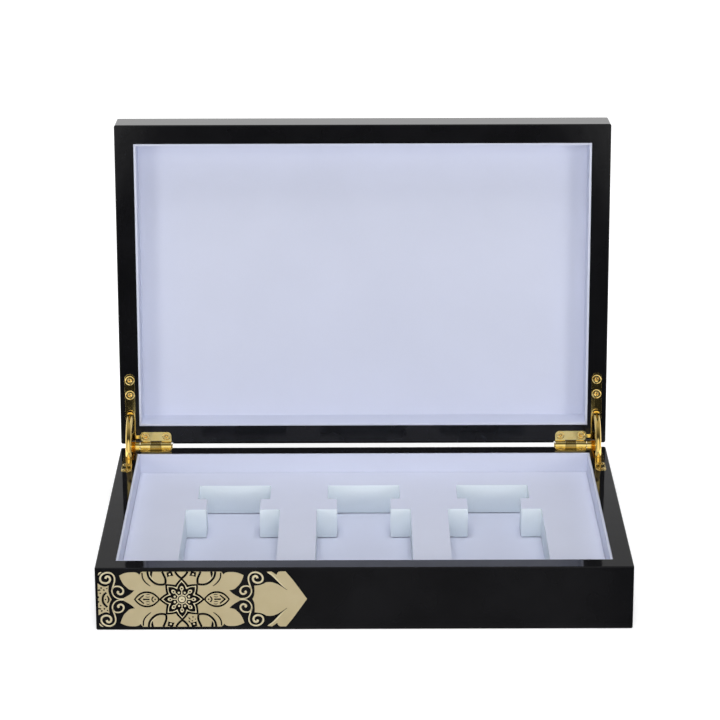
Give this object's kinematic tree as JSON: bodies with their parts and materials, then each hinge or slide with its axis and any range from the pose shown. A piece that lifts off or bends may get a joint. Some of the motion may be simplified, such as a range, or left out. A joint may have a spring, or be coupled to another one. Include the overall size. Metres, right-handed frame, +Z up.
{
  "type": "hinged presentation box",
  "caption": "Flat black lacquered gift box with a hinged lid on quadrant stays, a pale lined tray and stepped bottle recesses, and a gilt ornament on the front.",
  "frame": {"origin": "centre of the underside, where the felt rests on the table", "axes": "+X to the right along the front, +Y to the back where the hinges are, +Z up"},
  "size_m": [0.3, 0.2364, 0.2389],
  "materials": {
    "black_lacquer": "high-gloss black polyester lacquer on fibreboard, with very fine orange peel",
    "bare_board": "black stained fibreboard",
    "felt": "short black felt",
    "lining_paper": "matt pale lilac paper-covered board",
    "insert_card": "pale paper-covered insert with satin recess walls",
    "gold_inlay": "flat pale gold foil inlay",
    "gilt_brass": "polished gold plate",
    "gilt_screw": "polished gold plate with a cross recess"
  },
  "bodies": {
    "box": {"base_front_wall": "black_lacquer", "base_back_wall": "black_lacquer", "base_left_wall": "black_lacquer", "base_right_wall": "black_lacquer", "base_bottom_panel": "bare_board", "base_felt": "felt", "base_floor_lining": "lining_paper", "base_lining_front": "lining_paper", "base_lining_back": "lining_paper", "base_lining_left": "lining_paper", "base_lining_right": "lining_paper", "insert_block": "insert_card", "front_ornament": "gold_inlay", "hinge_base_leaf_left": "gilt_brass", "hinge_base_leaf_right": "gilt_brass", "base_screws_left": "gilt_screw", "base_screws_right": "gilt_screw", "hinge_pin_left": "gilt_brass", "hinge_pin_right": "gilt_brass"},
    "lid": {"lid_front_wall": "black_lacquer", "lid_back_wall": "black_lacquer", "lid_left_wall": "black_lacquer", "lid_right_wall": "black_lacquer", "lid_top_panel": "black_lacquer", "lid_lining_panel": "lining_paper", "lid_lining_front": "lining_paper", "lid_lining_back": "lining_paper", "lid_lining_left": "lining_paper", "lid_lining_right": "lining_paper", "hinge_lid_leaf_left": "gilt_brass", "hinge_lid_leaf_right": "gilt_brass", "lid_screws_left": "gilt_screw", "lid_screws_right": "gilt_screw"},
    "stay_left": {"stay_left": "gilt_brass"},
    "stay_right": {"stay_right": "gilt_brass"}
  },
  "joints": [
    {"name": "lid_hinge", "type": "hinge", "parent": "box", "child": "lid", "pos_m": [0, 0.1016, 0.03765], "axis": [1, 0, 0], "range_deg": [0, 93]},
    {"name": "stay_left_turn", "type": "hinge", "parent": "box", "child": "stay_left", "pos_m": [-0.1439, 0.1016, 0.03765], "axis": [1, 0, 0], "range_deg": [0, 57.7]},
    {"name": "stay_right_turn", "type": "hinge", "parent": "box", "child": "stay_right", "pos_m": [0.1439, 0.1016, 0.03765], "axis": [1, 0, 0], "range_deg": [0, 57.7]}
  ],
  "couplings": [
    {"joint": "stay_left_turn", "follows": "lid_hinge", "ratio": 0.62},
    {"joint": "stay_right_turn", "follows": "lid_hinge", "ratio": 0.62}
  ]
}
